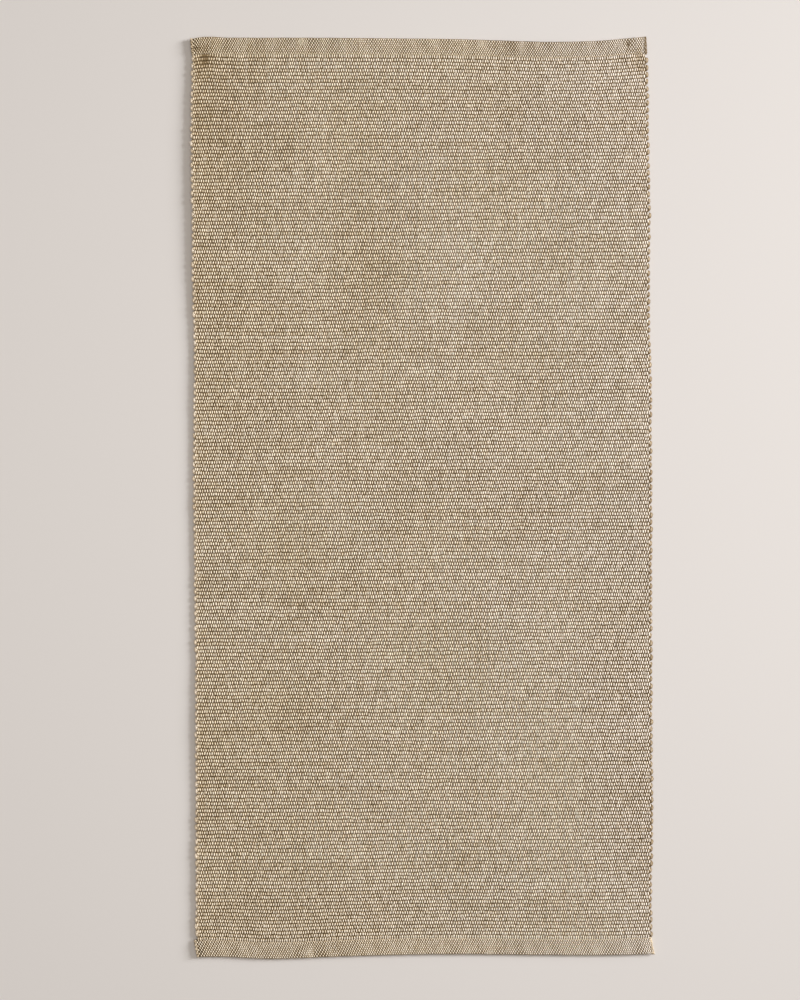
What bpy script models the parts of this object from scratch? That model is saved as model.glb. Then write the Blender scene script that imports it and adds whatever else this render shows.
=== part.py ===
"""Woven table runner, laid flat: body cloth, two selvedges, two turned hems and their sewing threads.

Metres, +Z up. The runner rests on Z = 0 with the middle of its underside at the origin. Its length
runs along Y, from the foot end at -Y to the head end at +Y, and its width runs along X.
"""
import math

import bmesh
import bpy

# Overall cloth
RUNNER_WIDTH = 0.450
RUNNER_LENGTH = 0.900
CLOTH_THICKNESS = 0.0034
CLOTH_EDGE_ROUND = 0.0008
CLOTH_EDGE_SEGMENTS = 2

# Selvedges: the corded long edges where the weft turns back
SELVEDGE_DIAMETER = 0.0032
SELVEDGE_BEVEL_RESOLUTION = 2

# Hems: the fine heading at each end, folded under twice
HEM_DEPTH = 0.012
HEM_END_INSET = 0.002
HEADING_THICKNESS = 0.0009
HEM_LAYER_GAP = 0.0003
OUTER_FOLD_SEGMENTS = 8
TUCK_FOLD_SEGMENTS = 6

# Sewing threads: a lockstitch in the ditch between each hem and the body cloth
THREAD_DIAMETER = 0.0005
STITCH_LENGTH = 0.006
STITCH_DIP_WIDTH = 0.0018
THREAD_BEVEL_RESOLUTION = 0

# The gap between pieces that touch on the real cloth
CLEARANCE = 0.0003

# Worked out from the sizes above
HALF_LENGTH = RUNNER_LENGTH / 2
HEM_INNER_Y = HALF_LENGTH - HEM_DEPTH
DITCH_WIDTH = THREAD_DIAMETER + 2 * CLEARANCE
BODY_LENGTH = 2 * (HEM_INNER_Y - DITCH_WIDTH)
BODY_WIDTH = RUNNER_WIDTH - 2 * (SELVEDGE_DIAMETER + CLEARANCE)
HEM_WIDTH = RUNNER_WIDTH - 2 * HEM_END_INSET

CLOTH_COLOUR = (0.434, 0.352, 0.246, 1.0)
SELVEDGE_COLOUR = (0.521, 0.439, 0.327, 1.0)
HEADING_COLOUR = (0.440, 0.356, 0.246, 1.0)
THREAD_COLOUR = (0.610, 0.535, 0.420, 1.0)
CLOTH_ROUGHNESS = 0.95
THREAD_ROUGHNESS = 0.7


def clear_scene():
    for scene_object in list(bpy.data.objects):
        bpy.data.objects.remove(scene_object, do_unlink=True)


def make_material(name, colour, roughness):
    material = bpy.data.materials.new(name)
    material.use_nodes = True
    shader = material.node_tree.nodes["Principled BSDF"]
    shader.inputs["Base Color"].default_value = colour
    shader.inputs["Roughness"].default_value = roughness
    shader.inputs["Metallic"].default_value = 0.0
    return material


def add_piece(name, data, material, collection):
    piece = bpy.data.objects.new(name, data)
    data.materials.append(material)
    collection.objects.link(piece)
    return piece


def turn_to_foot(piece):
    """Put a piece that was made at the head end at the foot end instead."""
    piece.rotation_euler.z = math.pi


def make_woven_body(collection, material):
    """The thick cloth between the hems: one slab with softened edges."""
    mesh = bpy.data.meshes.new("woven_body")
    slab = bmesh.new()
    bmesh.ops.create_cube(slab, size=1.0)
    bmesh.ops.scale(slab, vec=(BODY_WIDTH, BODY_LENGTH, CLOTH_THICKNESS), verts=slab.verts)
    bmesh.ops.translate(slab, vec=(0, 0, CLOTH_THICKNESS / 2), verts=slab.verts)
    slab.to_mesh(mesh)
    slab.free()
    body = add_piece("woven_body", mesh, material, collection)
    rounding = body.modifiers.new("soft_edges", "BEVEL")
    rounding.width = CLOTH_EDGE_ROUND
    rounding.segments = CLOTH_EDGE_SEGMENTS
    return body


def make_tube(name, points, diameter, bevel_resolution, collection, material):
    """A cord along straight runs between the points, closed at both ends."""
    curve = bpy.data.curves.new(name, "CURVE")
    curve.dimensions = "3D"
    curve.bevel_depth = diameter / 2
    curve.bevel_resolution = bevel_resolution
    curve.use_fill_caps = True
    spline = curve.splines.new("POLY")
    spline.points.add(len(points) - 1)
    for spline_point, place in zip(spline.points, points):
        spline_point.co = (*place, 1.0)
    return add_piece(name, curve, material, collection)


def make_selvedge(name, side, collection, material):
    """The corded long edge on one side: -1 is the left edge and +1 is the right edge."""
    edge_x = side * (RUNNER_WIDTH - SELVEDGE_DIAMETER) / 2
    middle_z = SELVEDGE_DIAMETER / 2
    ends = [(edge_x, -BODY_LENGTH / 2, middle_z), (edge_x, BODY_LENGTH / 2, middle_z)]
    return make_tube(name, ends, SELVEDGE_DIAMETER, SELVEDGE_BEVEL_RESOLUTION, collection, material)


def arc_points(centre_y, centre_z, radius, start_angle, end_angle, segments):
    points = []
    for step in range(segments + 1):
        angle = start_angle + (end_angle - start_angle) * step / segments
        points.append((centre_y + radius * math.cos(angle), centre_z + radius * math.sin(angle)))
    return points


def hem_centreline():
    """The folded heading seen from the side, as (y, z) points.

    It runs out along the face, round the outer fold, back along the underside, round the tuck fold
    and out again between the two, so that the raw edge is hidden inside.
    """
    layer_pitch = HEADING_THICKNESS + HEM_LAYER_GAP
    under_z = HEADING_THICKNESS / 2
    outer_y = HALF_LENGTH - HEADING_THICKNESS / 2 - layer_pitch
    tuck_radius = layer_pitch / 2
    tuck_y = HEM_INNER_Y + HEADING_THICKNESS / 2 + tuck_radius
    face_start = (HEM_INNER_Y, under_z + 2 * layer_pitch)
    outer_fold = arc_points(
        outer_y, under_z + layer_pitch, layer_pitch, math.pi / 2, -math.pi / 2, OUTER_FOLD_SEGMENTS
    )
    tuck_fold = arc_points(
        tuck_y, under_z + tuck_radius, tuck_radius, -math.pi / 2, -3 * math.pi / 2, TUCK_FOLD_SEGMENTS
    )
    raw_edge = (outer_y - CLEARANCE, under_z + layer_pitch)
    return [face_start] + outer_fold + tuck_fold + [raw_edge]


def make_hem(name, collection, material):
    """One turned hem: the folded centreline drawn across the cloth, then given its thickness."""
    mesh = bpy.data.meshes.new(name)
    fold = bmesh.new()
    line = [fold.verts.new((-HEM_WIDTH / 2, y, z)) for y, z in hem_centreline()]
    edges = [fold.edges.new(pair) for pair in zip(line, line[1:])]
    drawn = bmesh.ops.extrude_edge_only(fold, edges=edges)
    far_side = [item for item in drawn["geom"] if isinstance(item, bmesh.types.BMVert)]
    bmesh.ops.translate(fold, vec=(HEM_WIDTH, 0, 0), verts=far_side)
    bmesh.ops.recalc_face_normals(fold, faces=fold.faces)
    fold.to_mesh(mesh)
    fold.free()
    hem = add_piece(name, mesh, material, collection)
    wall = hem.modifiers.new("cloth_thickness", "SOLIDIFY")
    wall.thickness = HEADING_THICKNESS
    wall.offset = 0.0
    wall.use_even_offset = True
    return hem


def stitch_points(run_z, hole_z):
    """A thread that runs level at run_z and turns to hole_z at every stitch hole."""
    stitch_count = int(HEM_WIDTH / STITCH_LENGTH) - 1
    first_x = -stitch_count * STITCH_LENGTH / 2
    ditch_y = HEM_INNER_Y - DITCH_WIDTH / 2
    points = []
    for stitch in range(stitch_count + 1):
        hole_x = first_x + stitch * STITCH_LENGTH
        points.append((hole_x - STITCH_DIP_WIDTH / 2, ditch_y, run_z))
        points.append((hole_x, ditch_y, hole_z))
        points.append((hole_x + STITCH_DIP_WIDTH / 2, ditch_y, run_z))
    return points


def make_needle_thread(name, collection, material):
    """The upper thread: it shows on the face and dips to the middle of the cloth."""
    run_z = CLOTH_THICKNESS - THREAD_DIAMETER / 2
    hole_z = (CLOTH_THICKNESS + THREAD_DIAMETER + CLEARANCE) / 2
    points = stitch_points(run_z, hole_z)
    return make_tube(name, points, THREAD_DIAMETER, THREAD_BEVEL_RESOLUTION, collection, material)


def make_bobbin_thread(name, collection, material):
    """The lower thread: it lies on the underside and rises to meet the needle thread."""
    run_z = THREAD_DIAMETER / 2
    hole_z = (CLOTH_THICKNESS - THREAD_DIAMETER - CLEARANCE) / 2
    points = stitch_points(run_z, hole_z)
    return make_tube(name, points, THREAD_DIAMETER, THREAD_BEVEL_RESOLUTION, collection, material)


def main():
    clear_scene()
    runner = bpy.data.collections.new("table_runner")
    bpy.context.scene.collection.children.link(runner)

    cloth = make_material("woven_cloth", CLOTH_COLOUR, CLOTH_ROUGHNESS)
    selvedge_cord = make_material("selvedge_cord", SELVEDGE_COLOUR, CLOTH_ROUGHNESS)
    heading = make_material("hem_heading", HEADING_COLOUR, CLOTH_ROUGHNESS)
    sewing_thread = make_material("sewing_thread", THREAD_COLOUR, THREAD_ROUGHNESS)

    make_woven_body(runner, cloth)
    make_selvedge("left_selvedge", -1, runner, selvedge_cord)
    make_selvedge("right_selvedge", 1, runner, selvedge_cord)

    for end in ("head", "foot"):
        pieces = [
            make_hem(end + "_hem", runner, heading),
            make_needle_thread(end + "_needle_thread", runner, sewing_thread),
            make_bobbin_thread(end + "_bobbin_thread", runner, sewing_thread),
        ]
        if end == "foot":
            for piece in pieces:
                turn_to_foot(piece)


main()
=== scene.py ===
# %% [markdown]
# # A woven table runner
# This lesson dresses a plain model of a table runner as the real cloth. The cloth is a thick plain
# weave: fine warp ends run the length of the runner and pass over and under one thick weft yarn
# after another. It could be a flat sheet with a weave painted on it. We lay it yarn by yarn instead,
# because yarns this thick cast shadows on each other, and that is what makes the cloth look woven.

# %% Load the frame
import math

import bmesh
import bpy
import numpy as np
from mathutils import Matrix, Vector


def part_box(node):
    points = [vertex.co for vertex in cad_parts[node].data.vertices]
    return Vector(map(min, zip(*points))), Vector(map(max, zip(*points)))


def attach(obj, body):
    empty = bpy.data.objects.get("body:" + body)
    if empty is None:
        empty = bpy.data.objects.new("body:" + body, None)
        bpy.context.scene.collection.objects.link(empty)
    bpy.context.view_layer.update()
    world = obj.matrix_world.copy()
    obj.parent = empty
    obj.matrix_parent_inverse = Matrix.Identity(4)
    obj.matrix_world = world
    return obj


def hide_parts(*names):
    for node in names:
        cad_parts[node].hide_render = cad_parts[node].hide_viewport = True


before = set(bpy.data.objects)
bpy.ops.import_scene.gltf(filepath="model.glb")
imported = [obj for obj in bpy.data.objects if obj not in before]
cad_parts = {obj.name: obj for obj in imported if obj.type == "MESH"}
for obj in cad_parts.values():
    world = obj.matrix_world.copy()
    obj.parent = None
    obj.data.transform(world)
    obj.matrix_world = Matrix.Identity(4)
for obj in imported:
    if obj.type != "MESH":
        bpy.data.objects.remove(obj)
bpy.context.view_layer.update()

body_low, body_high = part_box("woven_body")
head_low, head_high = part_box("head_hem")
cloth_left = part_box("left_selvedge")[0].x
cloth_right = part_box("right_selvedge")[1].x
cloth_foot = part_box("foot_hem")[0].y
cloth_head = head_high.y
print("cloth", round(cloth_right - cloth_left, 3), "by", round(cloth_head - cloth_foot, 3), "m")

# %% [markdown]
# ## Counting the yarns
# A cloth is counted before it is measured: so many warp ends across and so many picks of weft along.
# The spacings follow from the counts and from the size of the cloth. The thick picks stop one pick
# short of the plain model's body at each end, where the fine heading begins. The warp is kept in
# sections, because one mesh with every end in it would be slow to handle.

# %% Set the counts
WARP_ENDS = 384
WARP_SECTIONS = 8
PICKS = 249
SELVEDGE_DEPTH = 0.0030

ends_each = WARP_ENDS // WARP_SECTIONS
warp_left = cloth_left + SELVEDGE_DEPTH
warp_width = cloth_right - cloth_left - 2 * SELVEDGE_DEPTH
end_spacing = warp_width / WARP_ENDS
pick_spacing = (body_high.y - body_low.y) / (PICKS + 2)
weave_foot = body_low.y + pick_spacing
weave_head = body_high.y - pick_spacing
middle_z = (body_low.z + body_high.z) / 2
half_thickness = (body_high.z - body_low.z) / 2
print("one end every", round(1000 * end_spacing, 2), "mm")
print("one pick every", round(1000 * pick_spacing, 2), "mm")

# %% [markdown]
# ## Unevenness
# No row of a hand-made cloth is quite straight. A sum of a few long waves, each in its own
# direction, gives a smooth field that wanders without a visible repeat. A fixed seed chooses the
# waves, so the cloth comes out the same every time. Ripples are several such fields added up, each
# with its own step, size of hills across and along, and seed.

# %% A wandering field
WAVES = 12


def wandering(x, y, size_x, size_y, seed):
    """A smooth field of about -1 to 1, with hills about size_x by size_y metres."""
    draw = np.random.default_rng(seed)
    field = np.zeros(np.broadcast(x, y).shape)
    for _ in range(WAVES):
        angle = draw.uniform(0, 2 * math.pi)
        stretch = draw.uniform(0.6, 1.6)
        across = math.cos(angle) * stretch / size_x
        along = math.sin(angle) * stretch / size_y
        field += np.sin(math.pi * (across * x + along * y) + draw.uniform(0, 2 * math.pi))
    return field / math.sqrt(WAVES)


def rippling(x, y, ripples):
    """Several wandering fields added up, each given as (step, size_x, size_y, seed)."""
    return sum(step * wandering(x, y, size_x, size_y, seed) for step, size_x, size_y, seed in ripples)


def hill(x, y, place, reach):
    """A smooth hill, 1 high, at place, that falls away over reach = (across, along)."""
    return np.exp(-(((x - place[0]) / reach[0]) ** 2) - ((y - place[1]) / reach[1]) ** 2)


print("waves in each field", WAVES)

# %% [markdown]
# ## How the cloth lies
# The runner was cut and hemmed by hand, so its ends are a little bowed and its corners pucker where
# the hem is folded and stitched. Every yarn is moved by the same drift, so the pieces stay together.

# %% How the ends are bowed
# A hill of an end gives its middle, its reach across and its height. A hill of an edge gives the edge
# that it is on, its middle along, its reach along and its step sideways.
HEAD_HILLS = (
    (0.140, 0.095, -0.0060),
    (0.222, 0.028, 0.0014),
    (-0.206, 0.012, 0.0010),
    (-0.020, 0.075, -0.0012),
    (-0.2260, 0.005, -0.0018),
)
FOOT_HILLS = (
    (0.020, 0.090, 0.0021),
    (-0.145, 0.045, -0.0017),
    (0.225, 0.030, 0.0010),
    (-0.200, 0.030, 0.0011),
)
END_REACH = 0.060
EDGE_HILLS = (
    (cloth_left, 0.095, 0.090, 0.0014),
    (cloth_left, -0.140, 0.070, 0.0008),
    (cloth_left, -0.425, 0.025, -0.0010),
    (cloth_right, 0.437, 0.022, -0.0010),
    (cloth_right, -0.200, 0.070, -0.0010),
    (cloth_right, -0.380, 0.070, -0.0016),
)
EDGE_REACH = 0.060
print("hills at the ends", len(HEAD_HILLS) + len(FOOT_HILLS), "and at the edges", len(EDGE_HILLS))

# %% [markdown]
# Between the ends the rows and the ends of the warp wander a little, less near the stitched hems. The
# cloth swells off the table by a fraction of a millimetre, and its left edge stands up in two places.

# %% The drift of the cloth
SIDEWAYS_RIPPLES = ((0.0006, 0.06, 0.10, 11), (0.00018, 0.010, 0.010, 14))
LENGTHWAYS_RIPPLES = ((0.0004, 0.14, 0.07, 12), (0.00022, 0.016, 0.012, 15))
HEM_HOLD = 0.7
HEM_HOLD_REACH = 0.03
FLOOR_GAP = 0.0003
SWELL = 0.0002
SWELL_RIPPLES = ((1.0, 0.12, 0.09, 13),)
LIFTS = (
    (0.310, 0.030, 0.150, 0.0024),
    (-0.300, 0.025, 0.250, 0.0006),
)


def cloth_drift(x, y):
    """How far a point of the cloth lies from its place on an even grid, as (dx, dy, dz)."""
    dx = rippling(x, y, SIDEWAYS_RIPPLES)
    held = HEM_HOLD * np.exp(-(((cloth_head - np.abs(y)) / HEM_HOLD_REACH) ** 2))
    dy = rippling(x, y, LENGTHWAYS_RIPPLES) * (1 - held)
    for end_y, hills in ((cloth_head, HEAD_HILLS), (cloth_foot, FOOT_HILLS)):
        for middle_x, reach_x, height in hills:
            dy = dy + height * hill(x, y, (middle_x, end_y), (reach_x, END_REACH))
    for edge_x, middle_y, reach_y, step in EDGE_HILLS:
        dx = dx + step * hill(x, y, (edge_x, middle_y), (EDGE_REACH, reach_y))
    dz = FLOOR_GAP + SWELL * (1 + rippling(x, y, SWELL_RIPPLES)).clip(0, None)
    for middle_y, reach_x, reach_y, height in LIFTS:
        dz = dz + height * hill(x, y, (cloth_left, middle_y), (reach_x, reach_y))
    return dx, dy, dz


corner_drift = cloth_drift(cloth_right, cloth_head)
print("the head's right corner moves by", [round(1000 * float(step), 2) for step in corner_drift], "mm")

# %% [markdown]
# The corners pucker where the stitching pulls them in: a small dip, with painted shade in it. Each
# pucker has a place, a reach across and along, a depth and a shade.

# %% Puckers at the corners
PUCKERS = (
    (-0.2105, 0.4290, 0.0050, 0.0085, 0.0009, 3.4),
    (-0.2200, 0.4395, 0.0050, 0.0020, 0.0006, 3.4),
    (0.2050, 0.4440, 0.0028, 0.0040, 0.0004, 2.6),
    (0.2140, 0.4372, 0.0120, 0.0013, 0.0006, 3.2),
    (0.2170, 0.4255, 0.0100, 0.0100, 0.0004, 2.4),
    (0.2140, 0.4325, 0.0050, 0.0018, 0.0006, 2.6),
    (0.2230, 0.4430, 0.0020, 0.0030, 0.0003, 2.6),
    (-0.2190, -0.4435, 0.0012, 0.0045, 0.0003, 0.9),
    (0.2222, -0.4445, 0.0008, 0.0045, 0.0002, 2.8),
)


def pucker(x, y):
    """How deep the cloth is drawn in, in metres, and how much painted shade darkens it there."""
    depth = np.zeros(np.broadcast(x, y).shape)
    shade = np.zeros(depth.shape)
    for place_x, place_y, across, along, deep, dark in PUCKERS:
        dip = hill(x, y, (place_x, place_y), (across, along))
        depth += deep * dip
        shade += dark * dip
    return depth, shade


print("puckers", len(PUCKERS))

# %% [markdown]
# ## Spinning yarns
# A yarn is a closed tube. We take a cone with equal ends, cut its long edges into rings and lay it
# along X or Y. The Array modifier lays the copies side by side. The tubes start hair-thin, so that
# each point says by its place which copy and which ring it belongs to. All the points are then moved
# together with array arithmetic, which is far quicker than a loop over points.

# %% A set of straight yarns
THIN = 0.0001
LANE_FILL = 0.45


class Yarns:
    """Copies of one thin closed tube, and for each point its copy, its ring and its side."""

    def __init__(self, name, sides, rings, copies, along):
        tube = bmesh.new()
        bmesh.ops.create_cone(
            tube, cap_ends=True, segments=sides, radius1=THIN, radius2=THIN, depth=rings - 1
        )
        long_edges = [e for e in tube.edges if abs(e.verts[0].co.z - e.verts[1].co.z) > THIN]
        bmesh.ops.subdivide_edgering(tube, edges=long_edges, cuts=rings - 2, interp_mode="LINEAR")
        for vertex in tube.verts:
            side, rise, run = vertex.co
            run += (rings - 1) / 2
            vertex.co = (run, -side, rise) if along == "X" else (side, run, rise)
        thin_mesh = bpy.data.meshes.new(name)
        tube.to_mesh(thin_mesh)
        tube.free()
        self.piece = bpy.data.objects.new(name, thin_mesh)
        bpy.context.scene.collection.objects.link(self.piece)
        copier = self.piece.modifiers.new("copies", "ARRAY")
        copier.count = copies
        copier.use_relative_offset = False
        copier.use_constant_offset = True
        copier.constant_offset_displace = (0, 1, 0) if along == "X" else (1, 0, 0)
        depsgraph = bpy.context.evaluated_depsgraph_get()
        self.piece.data = bpy.data.meshes.new_from_object(self.piece.evaluated_get(depsgraph))
        self.piece.modifiers.clear()
        bpy.data.meshes.remove(thin_mesh)
        self.piece.data.name = name
        points = np.empty(len(self.piece.data.vertices) * 3)
        self.piece.data.vertices.foreach_get("co", points)
        x, y, z = points.reshape(-1, 3).T
        run, lane = (x, y) if along == "X" else (y, x)
        self.ring = np.rint(run).astype(int)
        self.copy = np.rint(lane).astype(int)
        self.side = (lane - self.copy) / THIN
        self.rise = z / THIN
        self.rings = rings
        self.copies = copies

    def place(self, x, y, z):
        """Move every point to its place and shade the tubes as round."""
        self.piece.data.vertices.foreach_set("co", np.stack([x, y, z], 1).ravel())
        self.piece.data.update()
        self.piece.data.shade_smooth()

    def mark(self, name, values):
        """Keep one number at each point for the material to read."""
        attribute = self.piece.data.attributes.new(name, "FLOAT", "POINT")
        attribute.data.foreach_set("value", np.broadcast_to(values, self.ring.shape).astype(np.float32))

    def unroll(self):
        """Lay the yarns out flat in a UV map: faces that look up on the left, the others on the right."""
        mesh = self.piece.data
        corners = np.empty(len(mesh.loops), dtype=np.int32)
        mesh.loops.foreach_get("vertex_index", corners)
        counts = np.empty(len(mesh.polygons), dtype=np.int32)
        mesh.polygons.foreach_get("loop_total", counts)
        mean_rise = np.add.reduceat(self.rise[corners], np.cumsum(counts) - counts) / counts
        looks_down = np.repeat(mean_rise < 0, counts)
        across = (self.copy[corners] + 0.5 + LANE_FILL * self.side[corners]) / self.copies
        u = (across + looks_down) / 2
        v = (self.ring[corners] + 0.5) / self.rings
        layer = mesh.uv_layers.new(name="OFBake")
        layer.data.foreach_set("uv", np.stack([u, v], 1).astype(np.float32).ravel())


# %% [markdown]
# ## How each float differs
# A float is the short stretch of a warp end that shows on the face as it passes over a pick. Spun
# yarn is never even, so each float gets its own size, place and shade. Part of the shade is shared:
# a stretch of one pick or of one end is paler where that yarn is thick, which gives the cloth its
# streaks along and across, and the yarn is warmer on the left than on the right.

# %% Tables of unevenness
draw = np.random.default_rng(5)
bulge, fullness, shift, slide, speckle, lean = draw.normal(size=(6, WARP_ENDS, PICKS)).clip(-2, 2)
PICK_STREAKS = draw.normal(size=(PICKS, 6))
END_STREAKS = draw.normal(size=(WARP_ENDS, 12))
STREAK_LIMIT = 1.8
print("floats on the two faces", bulge.size)


def streak(table, line, share):
    """The evenness of one yarn at a share of its length, drawn smoothly through its random values."""
    place = share.clip(0, 1) * (table.shape[1] - 1)
    before = place.astype(int).clip(0, table.shape[1] - 2)
    mix = place - before
    value = table[line, before] * (1 - mix) + table[line, before + 1] * mix
    return (value * np.sqrt(np.abs(value))).clip(-STREAK_LIMIT, STREAK_LIMIT)


# %% [markdown]
# The cloth as a whole is shaded as well. Patches are darker or paler by a step, each with its place
# and its reach across and along: the loose corner at the head's left is the darkest of them, its
# darkness near the pucker being painted shade, and the right edge is paler. The warp lies looser at
# the two edges and in that corner, so that more of the weft shows there.

# %% Tone, bareness and tint over the cloth
PATCHES = (
    # The first two patches, at the head's left corner, are painted shade round its pucker.
    (-0.220, 0.430, 0.014, 0.018, -1.0),
    (-0.205, 0.444, 0.022, 0.010, -1.1),
    (-0.200, 0.385, 0.045, 0.065, -1.0),
    (0.071, 0.379, 0.050, 0.022, -0.6),
    (-0.051, 0.251, 0.020, 0.090, -0.6),
    (0.032, 0.232, 0.032, 0.032, 0.6),
    (0.165, 0.400, 0.050, 0.030, 0.4),
    (-0.208, -0.268, 0.016, 0.060, -0.7),
    (0.047, -0.341, 0.032, 0.022, -0.6),
    (0.003, 0.065, 0.050, 0.035, 0.3),
    (0.227, 0.000, 0.013, 0.600, 1.1),
)
BROAD_TONES = ((0.12, 0.10, 0.09, 23), (0.12, 0.035, 0.030, 24))
OWN_TONE = 0.42
PICK_TONE = 0.50
END_TONE = 0.42
PAINTED_LIGHT_TO_RIGHT = 0.32
LOOSE_EDGES = ((cloth_left, 0.007), (cloth_right, 0.004))
EDGE_BARENESS = 0.40
LOOSE_CORNER = ((-0.208, 0.400), (0.022, 0.040))
CORNER_BARENESS = 0.18
TINT_RIPPLES = ((0.10, 0.09, 0.08, 31), (0.05, 0.010, 0.006, 32))
MIDDLE_TINT = 0.5
TINT_TO_RIGHT = 0.38


def cloth_tone(x, y, own):
    """The lightness of the yarn at a place, from its own speckle and from what it shares."""
    across = (x - warp_left) / warp_width
    along = (y - weave_foot) / (PICKS * pick_spacing)
    end = (across * WARP_ENDS).astype(int).clip(0, WARP_ENDS - 1)
    pick = (along * PICKS).astype(int).clip(0, PICKS - 1)
    shared = PICK_TONE * streak(PICK_STREAKS, pick, across) + END_TONE * streak(END_STREAKS, end, along)
    broad = rippling(x, y, BROAD_TONES)
    for place_x, place_y, reach_x, reach_y, step in PATCHES:
        broad = broad + step * hill(x, y, (place_x, place_y), (reach_x, reach_y))
    # The last term is painted light: the cloth is painted paler towards the lamp on the right.
    return OWN_TONE * own + shared + broad + PAINTED_LIGHT_TO_RIGHT * x / cloth_right


def bareness(x, y):
    """How far the weft shows through at a place, 0 to 1: at the edges and in the loose corner."""
    bare = CORNER_BARENESS * hill(x, y, *LOOSE_CORNER)
    for edge_x, reach in LOOSE_EDGES:
        bare = bare + EDGE_BARENESS * np.exp(-(((x - edge_x) / reach) ** 2))
    return bare


def cloth_tint(x, y):
    """The warmth of the yarn at a place: 0 is a warm beige, 1 is a greyer one."""
    return MIDDLE_TINT + TINT_TO_RIGHT * x / cloth_right + rippling(x, y, TINT_RIPPLES)


print("bareness at the left edge", round(float(bareness(cloth_left, 0)), 2))

# %% [markdown]
# ## The warp
# Each end rises over one pick and dives under the next, and its neighbour does the opposite. Two
# rings of points to a pick are enough: they hold the flat crest of the float, and the yarn slopes
# from one crest to the next between them.

# %% Weave the warp
WARP_HALF_WIDTH = 0.00064
WARP_HALF_HEIGHT = 0.00042
CREST_LENGTH = 0.61
WARP_SIDES = 4
BULGE = 0.09
FULLNESS = 0.13
SHIFT = 0.00009
LEAN = 0.00020
SLIDE = 0.00016
BARE_FLATTENS = 0.25
BARE_THINS = 0.30


def weave_warp(section):
    """One section of the warp, over and under every pick between the hems."""
    yarns = Yarns(f"warp_section_{section + 1}", WARP_SIDES, 2 * PICKS, ends_each, "Y")
    end = yarns.copy + section * ends_each
    pick = yarns.ring // 2
    up = np.where((pick + end) % 2 == 0, 1.0, -1.0)
    middle_x = warp_left + (end + 0.5) * end_spacing
    on_crest = yarns.ring % 2 - 0.5
    middle_y = weave_foot + (pick + 0.5 + on_crest * CREST_LENGTH) * pick_spacing
    dx, dy, dz = cloth_drift(middle_x, middle_y)
    bare = bareness(middle_x, middle_y)
    rise = (half_thickness - WARP_HALF_HEIGHT) * (1 + BULGE * bulge[end, pick] - BARE_FLATTENS * bare)
    half_width = WARP_HALF_WIDTH * (1 + FULLNESS * fullness[end, pick] - BARE_THINS * bare)
    height = up * rise + yarns.rise * WARP_HALF_HEIGHT
    sideways = SHIFT * shift[end, pick] + LEAN * lean[end, pick] * on_crest
    depth, shade = pucker(middle_x, middle_y)
    yarns.place(
        middle_x + dx + yarns.side * half_width + sideways,
        middle_y + dy + SLIDE * slide[end, pick],
        middle_z + dz + height - depth * (up > 0),
    )
    # The height gives painted shade where an end dives, and the crest a painted highlight at the middle
    # of each float; the pucker's painted shade darkens the tone.
    yarns.mark("height", height / half_thickness)
    yarns.mark("crest", 2 * on_crest)
    yarns.mark("tone", cloth_tone(middle_x, middle_y, speckle[end, pick]) - shade)
    yarns.mark("tint", cloth_tint(middle_x, middle_y))
    yarns.unroll()
    return yarns.piece


warp = [weave_warp(section) for section in range(WARP_SECTIONS)]
print("warp faces", sum(len(piece.data.polygons) for piece in warp))

# %% [markdown]
# ## The weft
# The weft is the thick yarn that the warp passes over and under. It shows only in the gaps between
# the floats, and as loops at the two selvedges, where it turns back for the next pick.

# %% Lay the picks
WEFT_HALF_HEIGHT = 0.00086
WEFT_HALF_WIDTH = 0.00140
# The weft's low paleness is painted shade, as it lies deep between the floats.
WEFT_PALENESS = 0.27
WEFT_SIDES = 6
WEFT_RINGS = 40
RINGS_AT_EDGES = 0.75
SLUB_RIPPLES = ((0.08, 0.045, 0.0021, 21),)
BARE_SWELLS = 0.22
BARE_PALENESS = 0.5


def weave_weft():
    """Every pick of the body cloth, from one selvedge to the other."""
    yarns = Yarns("weft_picks", WEFT_SIDES, WEFT_RINGS, PICKS, "X")
    share = yarns.ring / (WEFT_RINGS - 1)
    share = share - RINGS_AT_EDGES * np.sin(2 * math.pi * share) / (2 * math.pi)
    middle_x = warp_left + share * warp_width
    middle_y = weave_foot + (yarns.copy + 0.5) * pick_spacing
    dx, dy, dz = cloth_drift(middle_x, middle_y)
    bare = bareness(middle_x, middle_y)
    slub = 1 + rippling(middle_x, middle_y, SLUB_RIPPLES) + BARE_SWELLS * bare
    yarns.place(
        middle_x + dx,
        middle_y + dy - yarns.side * WEFT_HALF_WIDTH * slub,
        middle_z + dz + yarns.rise * WEFT_HALF_HEIGHT * slub,
    )
    # Painted shade: the weft is coloured dark, as it lies in shadow between the floats, and painted light
    # makes it paler where it lies bare.
    yarns.mark("height", WEFT_PALENESS + BARE_PALENESS * bare * yarns.rise ** 2)
    yarns.mark("crest", 0)
    yarns.mark("tone", cloth_tone(middle_x, middle_y, 0))
    yarns.mark("tint", cloth_tint(middle_x, middle_y))
    yarns.unroll()
    return yarns.piece


weft = weave_weft()
print("weft faces", len(weft.data.polygons))

# %% [markdown]
# ## The selvedges
# At each edge the weft comes out of one row, turns and goes back in with the next. Each turn is a
# short tube bent into a U. The yarn is two plies twisted together, so the tube has two lobes that
# wind round it, with painted shade in the grooves between them. No two turns stand out by the same
# amount. The legs that dive into the cloth carry painted shade, and the tips are paler. The two edges
# differ: side -1 is the left edge, where the turns are pale, and side 1 the right, where they are
# darker and carry painted shade on their outer side.

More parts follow.
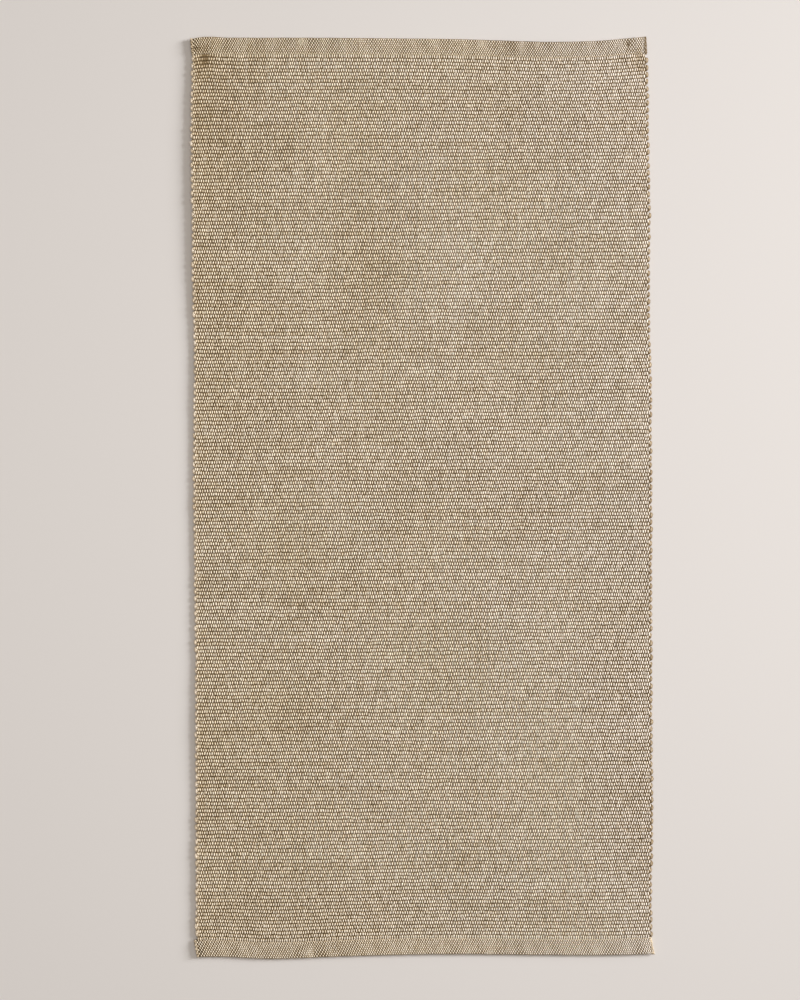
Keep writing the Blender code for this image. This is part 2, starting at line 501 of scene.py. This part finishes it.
# %% Turn the weft at the edges
TURN_SIDES = 6
TURN_RINGS = 10
TURN_LEG = 0.0024
TURN_LEG_POWER = 1.2
TURN_INSET = 0.0026
TURN_DEPTH = {-1: 0.0005, 1: 0.0008}
LEG_HEIGHT = {-1: 0.46, 1: 0.20}
TIP_HEIGHT = {-1: 0.67, 1: 0.52}
TURN_OWN_TONE = 0.8
TURN_TINT = 1.0
PLY_TONE = {-1: 1.6, 1: 1.3}
OUTER_SHADE = {-1: 0.0, 1: 0.30}
TURN_HALF_WIDTH = 0.00146
TURN_HALF_HEIGHT = 0.00120
PLY_DEPTH = 0.20
PLY_TWIST = 800.0
TURN_LIMIT = 1.8
TURN_REACH = 0.00030
TURN_LEAN = 0.00025
TURN_LIFT = 0.00012
TURN_PLUMPNESS = 0.08


def turn_selvedge(name, side, first_pick, seed):
    """The row of weft turns at one edge: side is -1 on the left and +1 on the right."""
    turns = (PICKS - first_pick) // 2
    yarns = Yarns(name, TURN_SIDES, TURN_RINGS, turns, "X")
    draw = np.random.default_rng(seed)
    drawn = draw.normal(size=(5, turns)).clip(-TURN_LIMIT, TURN_LIMIT)
    reach, tilt, lift, own, plump = drawn[:, yarns.copy]
    depth = TURN_DEPTH[side] + TURN_REACH * reach
    radius = pick_spacing / 2
    length = 2 * TURN_LEG + math.pi * radius
    share = 2 * yarns.ring / (TURN_RINGS - 1) - 1
    run = np.sign(share) * np.abs(share) ** TURN_LEG_POWER * length / 2
    bend = (run / radius).clip(-math.pi / 2, math.pi / 2)
    leg = np.abs(run) - np.abs(bend) * radius
    facing_x = np.cos(bend)
    facing_y = np.sin(bend)
    out = depth * np.sqrt(facing_x.clip(0, 1)) - leg
    along = radius * facing_y + TURN_LEAN * tilt * facing_x
    around = np.arctan2(yarns.rise, yarns.side)
    ply = np.cos(2 * (around - PLY_TWIST * run))
    lobes = 1 + PLY_DEPTH * ply
    thick = TURN_HALF_WIDTH * (1 + TURN_PLUMPNESS * plump) * lobes * yarns.side
    row = weave_foot + (2 * yarns.copy + first_pick + 1) * pick_spacing
    root = (cloth_right - TURN_INSET) * side
    dx, dy, dz = cloth_drift(root, row)
    yarns.place(
        root + dx + side * (out + facing_x * thick),
        row + dy + along + facing_y * thick,
        middle_z + dz + yarns.rise * TURN_HALF_HEIGHT * lobes + TURN_LIFT * lift * facing_x,
    )
    # Painted shade: the legs that dive into the cloth are darker than the tips, and on the right the
    # outer side is darker still.
    height = LEG_HEIGHT[side] + (TIP_HEIGHT[side] - LEG_HEIGHT[side]) * facing_x
    yarns.mark("height", height - OUTER_SHADE[side] * (facing_x * yarns.side).clip(0, 1))
    yarns.mark("crest", 0)
    # Painted shade: the tone is darker in the grooves between the two plies.
    yarns.mark("tone", TURN_OWN_TONE * own + PLY_TONE[side] * ply)
    yarns.mark("tint", TURN_TINT)
    yarns.unroll()
    return yarns.piece


left_turns = turn_selvedge("left_weft_turns", -1, 1, 41)
right_turns = turn_selvedge("right_weft_turns", 1, 0, 42)
print("turn faces", len(left_turns.data.polygons), "and", len(right_turns.data.polygons))

# %% [markdown]
# ## The hems
# At each end the warp carries on into a heading that is woven with fine weft. The heading is folded
# under, and its raw edge is tucked in, so from the side it is a flat spiral. We write that spiral as
# a path and let the warp ends follow it, standing off to one side of the path and then the other.

# %% The path of the fold
HEADING_PICKS = 20
HEADING_HALF = 0.00056
HEADING_OVERLAP = 0.0012
FACE_LIFT = 0.0002
TUCK_RUN = 0.003
DIP_SHARE = 0.8
DIP_REACH = 0.0016

hem_start = head_low.y - pick_spacing
hem_thickness = head_high.z - head_low.z
face_z = hem_thickness - HEADING_HALF + FACE_LIFT
under_z = HEADING_HALF
fold_radius = (face_z - under_z) / 2
fold_y = cloth_head - HEADING_HALF - fold_radius
tuck_radius = fold_radius / 2
tuck_y = hem_start + HEADING_HALF + tuck_radius
face_run = fold_y - weave_head
fold_run = math.pi * fold_radius
under_run = fold_y - tuck_y
tuck_turn = math.pi * tuck_radius
path_length = face_run + fold_run + under_run + tuck_turn + TUCK_RUN
heading_spacing = (path_length + HEADING_OVERLAP) / HEADING_PICKS
print("heading pick every", round(1000 * heading_spacing, 2), "mm")
print("heading cloth", round(1000 * path_length, 1), "mm long at each end")


def hem_path(run):
    """The place (y, z) and the outward direction (y, z) of the folded heading after so long a run."""
    on_fold = (run - face_run).clip(0, fold_run)
    on_under = (run - face_run - fold_run).clip(0, under_run)
    on_tuck = (run - face_run - fold_run - under_run).clip(0, tuck_turn)
    on_end = (run - path_length + TUCK_RUN).clip(0, None)
    fold_turn = on_fold / fold_radius
    tuck_angle = on_tuck / tuck_radius
    y = weave_head + np.minimum(run, face_run) + fold_radius * np.sin(fold_turn) - on_under
    y = y - tuck_radius * np.sin(tuck_angle) + on_end
    z = face_z - fold_radius * (1 - np.cos(fold_turn)) + tuck_radius * (1 - np.cos(tuck_angle))
    turned = fold_turn + tuck_angle
    return y, z, np.sin(turned), np.cos(turned)


def hem_dip(run):
    """How far the heading sinks towards the middle of the cloth where it is stitched down: 0 to 1."""
    return DIP_SHARE * np.exp(-((run / DIP_REACH) ** 2))


# %% [markdown]
# ## The corners
# The heading is spread to the full width of the cloth in its last few centimetres, less at one corner
# than at another and at one not at all, and its ends lean to the left at the head and to the right
# at the foot, a little more or less from place to place. Side -1 is the left and side 1 the right.

# %% Spread the corners
CORNER_ZONE = 0.035
CORNER_SPREAD = {
    ("head", -1): 0.0004,
    ("head", 1): 0.0010,
    ("foot", -1): 0.0022,
    ("foot", 1): -0.0004,
}
HEADING_SLANT = {"head": -0.07, "foot": 0.16}
SLANT_RIPPLES = ((0.05, 0.012, 1.0, 17),)


def corner_spread(end_name, x):
    """How far the heading spreads sideways at x, so that its selvedge meets the edge of the cloth."""
    side = np.sign(x)
    inside = (1 - (warp_width / 2 - np.abs(x)) / CORNER_ZONE).clip(0, 1)
    left, right = CORNER_SPREAD[end_name, -1], CORNER_SPREAD[end_name, 1]
    return side * np.where(side < 0, left, right) * inside ** 2


def heading_slant(end_name, x, path_y):
    """How far the ends of a heading have leaned sideways by the time they reach path_y."""
    slant = HEADING_SLANT[end_name] + rippling(x, 0, SLANT_RIPPLES)
    return slant * (path_y - weave_head)


print("headings lean by", HEADING_SLANT, "and spread by", list(CORNER_SPREAD.values()))

# %% [markdown]
# The headings are shaded like the cloth, with more speckle. They are paler towards both edges, and
# the fold of the head has painted shade on its right part, a thin dark line along its outermost edge.

# %% The tone of a heading
HEADING_SPECKLE = 1.2
HEADING_LIFT = {"head": 0.8, "foot": 0.5}
LEFT_PALENESS = {"head": 1.1, "foot": 1.1}
RIGHT_PALENESS = {"head": 2.2, "foot": 3.6}
LEFT_PALE_REACH = 0.12
RIGHT_PALE_REACH = 0.09
CREASE_SHADE = {"head": 9.0, "foot": 0.0}
CREASE_MIDDLE = 0.117
CREASE_REACH = 0.055


def heading_tone(end_name, x, y, own):
    """The tone of a heading: that of the cloth, with more speckle, and paler towards the edges."""
    tone = cloth_tone(x, y, HEADING_SPECKLE * own) + HEADING_LIFT[end_name]
    tone = tone + LEFT_PALENESS[end_name] * hill(x, 0, (cloth_left, 0), (LEFT_PALE_REACH, 1))
    return tone + RIGHT_PALENESS[end_name] * hill(x, 0, (cloth_right, 0), (RIGHT_PALE_REACH, 1))


def painted_fold_shade(end_name, x, out_y):
    """The painted shade on the outermost part of the fold, where the cloth faces along the runner."""
    shaded_stretch = hill(x, 0, (CREASE_MIDDLE, 0), (CREASE_REACH, 1))
    return CREASE_SHADE[end_name] * out_y.clip(0, 1) ** 2 * shaded_stretch


print("tone of the headings", HEADING_LIFT)

# %% [markdown]
# The warp ends of the heading follow the fold and go over and under its fine picks. Everything that
# lies past the start of the fold drifts with the cloth's end, so the layers stay on each other.

# %% Weave the warp of the headings
HEADING_HALF_WIDTH = 0.00060
HEADING_HALF_HEIGHT = 0.00028
HEADING_CREST = 0.62
HEADING_BUMP = 0.1
HEADING_SIDE_STEP = 0.00007


def on_heading(end_name, turn, run, middle_x):
    """Where a yarn of a heading lies after so long a run: its middle and its outward direction."""
    path_y, path_z, out_y, out_z = hem_path(run)
    path_z = path_z - (face_z - middle_z) * hem_dip(run)
    middle_x = middle_x + corner_spread(end_name, middle_x) + heading_slant(end_name, middle_x, path_y)
    drift = cloth_drift(middle_x, turn * np.maximum(path_y, weave_head))
    return middle_x, turn * path_y, path_z, out_y, out_z, drift


def weave_heading_warp(end_name, turn, seed):
    """The warp ends of one heading, folded under. turn is 1 at the head and -1 at the foot."""
    yarns = Yarns(f"{end_name}_heading_warp", WARP_SIDES, 2 * HEADING_PICKS, WARP_ENDS, "Y")
    draw = np.random.default_rng(seed)
    bump, side_step, own = draw.normal(size=(3, WARP_ENDS, HEADING_PICKS)).clip(-2, 2)
    end, pick = yarns.copy, yarns.ring // 2
    up = np.where((pick + end) % 2 == 0, 1.0, -1.0)
    on_crest = yarns.ring % 2 - 0.5
    run = (pick + 0.5 + on_crest * HEADING_CREST) * heading_spacing - HEADING_OVERLAP
    grid_x = warp_left + (end + 0.5) * end_spacing
    middle_x, middle_y, path_z, out_y, out_z, drift = on_heading(end_name, turn, run, grid_x)
    dx, dy, dz = drift
    offset = up * (HEADING_HALF - HEADING_HALF_HEIGHT) * (1 + HEADING_BUMP * bump[end, pick])
    height = offset + yarns.rise * HEADING_HALF_HEIGHT
    depth, shade = pucker(middle_x, middle_y)
    on_face = path_z > middle_z
    yarns.place(
        middle_x + dx + yarns.side * HEADING_HALF_WIDTH + HEADING_SIDE_STEP * side_step[end, pick],
        middle_y + dy + turn * height * out_y,
        path_z + dz + height * out_z - depth * on_face,
    )
    # As on the body, the height gives painted shade where an end dives and the crest a painted highlight;
    # the pucker's and the fold's painted shade darken the tone.
    yarns.mark("height", height / HEADING_HALF)
    yarns.mark("crest", 2 * on_crest)
    tone = heading_tone(end_name, middle_x, middle_y, own[end, pick])
    yarns.mark("tone", tone - shade * on_face - painted_fold_shade(end_name, middle_x, out_y))
    yarns.mark("tint", cloth_tint(middle_x, middle_y))
    yarns.unroll()
    return yarns.piece


print("heading ends stand", round(1000 * (HEADING_HALF - HEADING_HALF_HEIGHT), 2), "mm off the path")

# %% [markdown]
# The picks of the heading are flat bands across the folded path. Each one tips with the path, so that
# it lies level on the face and stands upright round the fold.

# %% Lay the picks of the headings
HEADING_WEFT_SIDES = 4
HEADING_WEFT_RINGS = 40
HEADING_WEFT_HALF = 0.00075
HEADING_WEFT_HEIGHT = 0.00022
HEADING_WEFT_PALENESS = 0.20
HEADING_REACH = 0.0004


def weave_heading_weft(end_name, turn):
    """The fine picks of one heading."""
    yarns = Yarns(f"{end_name}_heading_weft", HEADING_WEFT_SIDES, HEADING_WEFT_RINGS, HEADING_PICKS, "X")
    run = (yarns.copy + 0.5) * heading_spacing - HEADING_OVERLAP
    share = yarns.ring / (HEADING_WEFT_RINGS - 1)
    grid_x = warp_left - HEADING_REACH + share * (warp_width + 2 * HEADING_REACH)
    middle_x, middle_y, path_z, out_y, out_z, drift = on_heading(end_name, turn, run, grid_x)
    dx, dy, dz = drift
    depth, shade = pucker(middle_x, middle_y)
    on_face = path_z > middle_z
    along = yarns.side * HEADING_WEFT_HALF
    across = yarns.rise * HEADING_WEFT_HEIGHT
    yarns.place(
        middle_x + dx,
        middle_y + dy - turn * (along * out_z - across * out_y),
        path_z + dz + along * out_y + across * out_z - depth * on_face,
    )
    # Painted shade: the fine picks are coloured dark, as they lie between the floats; the pucker's and
    # the fold's painted shade darken the tone.
    yarns.mark("height", HEADING_WEFT_PALENESS)
    yarns.mark("crest", 0)
    tone = heading_tone(end_name, middle_x, middle_y, 0)
    yarns.mark("tone", tone - shade * on_face - painted_fold_shade(end_name, middle_x, out_y))
    yarns.mark("tint", cloth_tint(middle_x, middle_y))
    yarns.unroll()
    return yarns.piece


print("heading picks are", round(2000 * HEADING_WEFT_HALF, 2), "mm wide")

# %% [markdown]
# The fine weft turns at the sides of the heading too. Its turns are plain U tubes that follow the
# folded path, one for every two picks. Their paleness differs from corner to corner.

# %% Turn the weft of the headings
HEADING_TURN_SIDES = 8
HEADING_TURN_RINGS = 10
HEADING_TURN_LEG = 0.0012
HEADING_TURN_DEPTH = 0.0007
HEADING_TURN_REACH = 0.0002
HEADING_TURN_LIMIT = 1.5
HEADING_TURN_HALF = 0.00062
HEADING_TURN_FLATNESS = 0.8
HEADING_TURN_TINT = 0.70
HEADING_TURN_HEIGHT = {
    ("head", -1): 0.46,
    ("head", 1): 0.28,
    ("foot", -1): 0.48,
    ("foot", 1): 0.54,
}


def turn_heading(end_name, turn, side, seed):
    """The turns of the fine weft at one end of a folded heading."""
    where = "left" if side < 0 else "right"
    turns = HEADING_PICKS // 2
    name = f"{end_name}_{where}_heading_turns"
    yarns = Yarns(name, HEADING_TURN_SIDES, HEADING_TURN_RINGS, turns, "X")
    draw = np.random.default_rng(seed)
    drawn = draw.normal(size=(2, turns)).clip(-HEADING_TURN_LIMIT, HEADING_TURN_LIMIT)
    reach, own = drawn[:, yarns.copy]
    radius = heading_spacing / 2
    length = 2 * HEADING_TURN_LEG + math.pi * radius
    run = yarns.ring / (yarns.rings - 1) * length - length / 2
    bend = (run / radius).clip(-math.pi / 2, math.pi / 2)
    depth = HEADING_TURN_DEPTH + HEADING_TURN_REACH * reach
    out = depth * np.cos(bend) - np.abs(run) + np.abs(bend) * radius
    thick = yarns.side * HEADING_TURN_HALF
    path_run = (2 * yarns.copy + 1) * heading_spacing - HEADING_OVERLAP
    path_run = path_run + (radius + thick) * np.sin(bend)
    path_y, path_z, out_y, out_z = hem_path(path_run)
    path_z = path_z - (face_z - middle_z) * hem_dip(path_run)
    root = side * warp_width / 2
    root_x = root + corner_spread(end_name, root) + heading_slant(end_name, root, path_y)
    dx, dy, dz = cloth_drift(root, turn * np.maximum(path_y, weave_head))
    height = yarns.rise * HEADING_TURN_HALF * HEADING_TURN_FLATNESS
    yarns.place(
        root_x + dx + side * (out + np.cos(bend) * thick),
        turn * path_y + dy + turn * height * out_y,
        path_z + dz + height * out_z,
    )
    # The pucker's painted shade darkens the tone of the turns.
    shade = pucker(root_x, turn * path_y)[1]
    yarns.mark("height", HEADING_TURN_HEIGHT[end_name, side])
    yarns.mark("crest", 0)
    yarns.mark("tone", TURN_OWN_TONE * own - shade)
    yarns.mark("tint", HEADING_TURN_TINT)
    yarns.unroll()
    return yarns.piece


print("heading turns are", round(2000 * HEADING_TURN_HALF, 2), "mm thick")

# %% [markdown]
# The head and the foot are made by the same three steps, from their own seeds. The foot is the head
# turned round, so its turn is -1.

# %% Make both headings
ENDS = (("head", 1, 51), ("foot", -1, 61))

headings = {}
for end_name, turn, seed in ENDS:
    headings[end_name] = (
        weave_heading_warp(end_name, turn, seed),
        weave_heading_weft(end_name, turn),
        turn_heading(end_name, turn, -1, seed + 1),
        turn_heading(end_name, turn, 1, seed + 2),
    )
    print(end_name, "heading faces", [len(piece.data.polygons) for piece in headings[end_name]])

# %% [markdown]
# ## The stitching
# A lockstitch holds each hem in the ditch beside the thick cloth. The needle thread runs on the face
# and dips at every hole; the bobbin thread runs underneath and rises to meet it.

# %% Sew the hems
STITCH_LENGTH = 0.006
THREAD_RADIUS = 0.00025
THREAD_SIDES = 6
STITCH_RINGS = 4
THREAD_PALENESS = 0.55
THREAD_TINT = 0.4
THREAD_TONE = 0.3
THREAD_TONE_STEP = 9.0


def sew(end_name, turn, kind, runs_high):
    """One sewing thread along a hem. runs_high says which side of the cloth it runs on."""
    thread_low, thread_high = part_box(f"{end_name}_{kind}_thread")
    low_z, high_z = thread_low.z + THREAD_RADIUS, thread_high.z - THREAD_RADIUS
    stitches = int((head_high.x - head_low.x) / STITCH_LENGTH) - 1
    rings = stitches * STITCH_RINGS + 1
    yarns = Yarns(f"{end_name}_{kind}_stitches", THREAD_SIDES, rings, 1, "X")
    at_hole = yarns.ring % STITCH_RINGS == 0
    middle_x = (yarns.ring / STITCH_RINGS - stitches / 2) * STITCH_LENGTH
    ditch_y = turn * (weave_head + hem_start) / 2
    run_z, hole_z = (high_z, low_z) if runs_high else (low_z, high_z)
    middle_of_thread = np.where(at_hole, hole_z, run_z)
    dx, dy, dz = cloth_drift(middle_x, ditch_y)
    yarns.place(
        middle_x + dx,
        ditch_y + dy - yarns.side * THREAD_RADIUS,
        middle_of_thread + dz + yarns.rise * THREAD_RADIUS,
    )
    yarns.mark("height", THREAD_PALENESS)
    yarns.mark("crest", 0)
    yarns.mark("tone", THREAD_TONE * np.sin(THREAD_TONE_STEP * yarns.ring))
    yarns.mark("tint", THREAD_TINT)
    yarns.unroll()
    return yarns.piece


threads = {}
for end_name, turn, _ in ENDS:
    threads[end_name] = (
        sew(end_name, turn, "needle", True),
        sew(end_name, turn, "bobbin", False),
    )
print("threads", [piece.name for pair in threads.values() for piece in pair])

# %% [markdown]
# ## The colour of the yarns
# The yarn's colour carries painted light and shade: a painted highlight on the crests of the floats,
# brightest at the middle of each float, and painted shade that deepens where the yarn dives between
# the picks. The height that we kept at each point says which is which, and the tone and the tint move
# each float lighter or darker and warmer or greyer.

# %% Materials from the kept numbers
MATT = 0.9
THREAD_GLOSS = 0.6
FIBRE_SHINE = 0.15
DEEP_HEIGHT = 0.02
TONE_BASE = 1.09
TONE_SPREAD = 0.13
CREST_FALL = 0.39
LOW_STOP = 0.30
MID_STOP = 0.65
# The ramp runs from painted shade, DEEP, to a painted highlight, CREST.
DEEP = (0.110, 0.068, 0.030, 1)
LOW = (0.330, 0.240, 0.136, 1)
MID = (0.835, 0.700, 0.510, 1)
CREST = (0.980, 0.900, 0.790, 1)
WARM = (0.990, 0.942, 0.850, 1)
COOL = (1.010, 0.985, 0.985, 1)


def add_node(tree, kind, **values):
    """Add a node and set its properties and plain input values."""
    node = tree.nodes.new(kind)
    for name, value in values.items():
        if name in node.inputs:
            node.inputs[name].default_value = value
        else:
            setattr(node, name, value)
    return node


def read_number(tree, name):
    """The number that mark() kept at each point under this name."""
    return add_node(tree, "ShaderNodeAttribute", attribute_name=name).outputs["Fac"]


def yarn_material(name, roughness):
    """A matt yarn, with a painted highlight at its crests and painted shade where it dives, and a tone
    and a tint.
    """
    material = bpy.data.materials.new(name)
    material.use_nodes = True
    tree = material.node_tree
    link = tree.links.new
    shader = tree.nodes["Principled BSDF"]
    shader.inputs["Roughness"].default_value = roughness
    shader.inputs["Specular IOR Level"].default_value = FIBRE_SHINE
    # Painted shade: the nearer a point lies to the middle of the cloth, the darker its colour.
    away = add_node(tree, "ShaderNodeMath", operation="ABSOLUTE")
    fade = add_node(tree, "ShaderNodeMapRange", interpolation_type="SMOOTHSTEP")
    fade.inputs["From Min"].default_value = DEEP_HEIGHT
    lit = add_node(tree, "ShaderNodeMath", operation="MULTIPLY_ADD")
    lit.inputs[1].default_value = TONE_SPREAD
    lit.inputs[2].default_value = TONE_BASE
    # Painted highlight: the colour is palest at the middle of each float and falls off towards its ends.
    from_middle = add_node(tree, "ShaderNodeMath", operation="POWER")
    from_middle.inputs[1].default_value = 2.0
    rounded = add_node(tree, "ShaderNodeMath", operation="MULTIPLY_ADD")
    rounded.inputs[1].default_value = -CREST_FALL
    paleness = add_node(tree, "ShaderNodeMath", operation="MULTIPLY")
    link(read_number(tree, "height"), away.inputs[0])
    link(away.outputs[0], fade.inputs["Value"])
    link(read_number(tree, "tone"), lit.inputs[0])
    link(read_number(tree, "crest"), from_middle.inputs[0])
    link(from_middle.outputs[0], rounded.inputs[0])
    link(lit.outputs[0], rounded.inputs[2])
    link(fade.outputs["Result"], paleness.inputs[0])
    link(rounded.outputs[0], paleness.inputs[1])
    ramp = add_node(tree, "ShaderNodeValToRGB")
    stops = ramp.color_ramp.elements
    stops[0].color = DEEP
    stops[1].color = CREST
    stops.new(LOW_STOP).color = LOW
    stops.new(MID_STOP).color = MID
    link(paleness.outputs[0], ramp.inputs["Fac"])
    tint = add_node(tree, "ShaderNodeMix", data_type="RGBA")
    tint.inputs["A"].default_value = WARM
    tint.inputs["B"].default_value = COOL
    link(read_number(tree, "tint"), tint.inputs["Factor"])
    tinted = add_node(tree, "ShaderNodeMix", data_type="RGBA", blend_type="MULTIPLY")
    tinted.inputs["Factor"].default_value = 1.0
    link(ramp.outputs["Color"], tinted.inputs["A"])
    link(tint.outputs["Result"], tinted.inputs["B"])
    link(tinted.outputs["Result"], shader.inputs["Base Color"])
    return material


cloth_yarn = yarn_material("cloth_yarn", MATT)
turn_yarn = yarn_material("turn_yarn", MATT)
heading_yarn = yarn_material("heading_yarn", MATT)
sewing_thread = yarn_material("sewing_thread", THREAD_GLOSS)
print("materials", [m.name for m in bpy.data.materials if m.name.endswith(("yarn", "thread"))])

# %% [markdown]
# ## Joining the pieces to the frame
# The runner has no joints: a cloth bends anywhere, so every piece rides on its one body. Each piece
# gets its yarn, and the plain parts that the yarns stand for are hidden.

# %% Dress, ride and replace


def finish_piece(piece, material, slot_name, *nodes):
    """Give a piece its yarn, put it on the frame's one body and hide the plain nodes that it stands for.
    """
    piece.data.materials.clear()
    piece.data.materials.append(material)
    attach(piece, "root")
    if nodes:
        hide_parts(*nodes)


for piece in warp:
    finish_piece(piece, cloth_yarn, "woven_cloth")
finish_piece(weft, cloth_yarn, "woven_cloth", "woven_body")
finish_piece(left_turns, turn_yarn, "selvedge_cord", "left_selvedge")
finish_piece(right_turns, turn_yarn, "selvedge_cord", "right_selvedge")
for end_name, (heading_warp, *fine_pieces) in headings.items():
    finish_piece(heading_warp, heading_yarn, "hem_heading", f"{end_name}_hem")
    for piece in fine_pieces:
        finish_piece(piece, heading_yarn, "hem_heading")
for end_name, (needle, bobbin) in threads.items():
    finish_piece(needle, sewing_thread, "sewing_thread", f"{end_name}_needle_thread")
    finish_piece(bobbin, sewing_thread, "sewing_thread", f"{end_name}_bobbin_thread")

# %% [markdown]
# ## Floor, light and camera
# The runner lies on a plain pale floor. A lamp low on the right, like a window, rakes across the
# yarns and throws a soft shadow to the left. Its beam is held together, so that the floor near it
# stays as pale as the rest. A large lamp above and the room's own light fill the shadows.

# %% The floor
FLOOR_HALF = 15.0
FLOOR_COLOUR = (0.72, 0.67, 0.632, 1)

floor_mesh = bpy.data.meshes.new("floor")
floor_shape = bmesh.new()
bmesh.ops.create_grid(floor_shape, x_segments=1, y_segments=1, size=FLOOR_HALF)
floor_shape.to_mesh(floor_mesh)
floor_shape.free()
floor = bpy.data.objects.new("floor", floor_mesh)
bpy.context.scene.collection.objects.link(floor)
pale_floor = bpy.data.materials.new("pale_floor")
pale_floor.use_nodes = True
floor_shader = pale_floor.node_tree.nodes["Principled BSDF"]
floor_shader.inputs["Base Color"].default_value = FLOOR_COLOUR
floor_shader.inputs["Roughness"].default_value = MATT
floor_mesh.materials.append(pale_floor)
print("floor", 2 * FLOOR_HALF, "m wide")

# %% The lamps
ROOM_COLOUR = (1.0, 0.95, 0.89, 1)
ROOM_STRENGTH = 0.215


def add_lamp(name, place, size, spread, power, colour):
    """A rectangular lamp that looks at the middle of the cloth. Its beam spreads by so many degrees."""
    data = bpy.data.lights.new(name, "AREA")
    data.shape = "RECTANGLE"
    data.size, data.size_y = size
    data.spread = math.radians(spread)
    data.energy = power
    data.color = colour
    lamp = bpy.data.objects.new(name, data)
    bpy.context.scene.collection.objects.link(lamp)
    lamp.location = place
    lamp.rotation_euler = (-lamp.location).to_track_quat("-Z", "Y").to_euler()


add_lamp("low_window", (3.9, 1.1, 1.85), (1.4, 1.9), 80, 54, (0.92, 0.955, 1.0))
add_lamp("overhead", (0.0, 0.1, 2.6), (2.4, 2.4), 180, 27, (1.0, 0.965, 0.915))
room = bpy.data.worlds.new("soft_room")
room.use_nodes = True
room_light = room.node_tree.nodes["Background"]
room_light.inputs["Color"].default_value = ROOM_COLOUR
room_light.inputs["Strength"].default_value = ROOM_STRENGTH
bpy.context.scene.world = room
bpy.context.scene.view_settings.view_transform = "Standard"
print("lamps", [(lamp.name, round(lamp.energy)) for lamp in bpy.data.lights])

# %% [markdown]
# The camera looks straight down. It stands as many times its view's height away as the lens is
# longer than the film is wide, a little to the left of the middle and turned by a third of a degree.

# %% The camera
LENS = 85
SENSOR = 36
VIEW_HEIGHT = 0.9788
VIEW_MIDDLE = (-0.0217, -0.0032)
VIEW_TURN = -0.32

camera_data = bpy.data.cameras.new("camera")
camera_data.lens = LENS
camera_data.sensor_width = SENSOR
camera = bpy.data.objects.new("camera", camera_data)
bpy.context.scene.collection.objects.link(camera)
camera.location = (*VIEW_MIDDLE, VIEW_HEIGHT * LENS / SENSOR)
camera.rotation_euler = (0, 0, math.radians(VIEW_TURN))
bpy.context.scene.camera = camera
print("camera", round(camera.location.z, 3), "m above the floor")
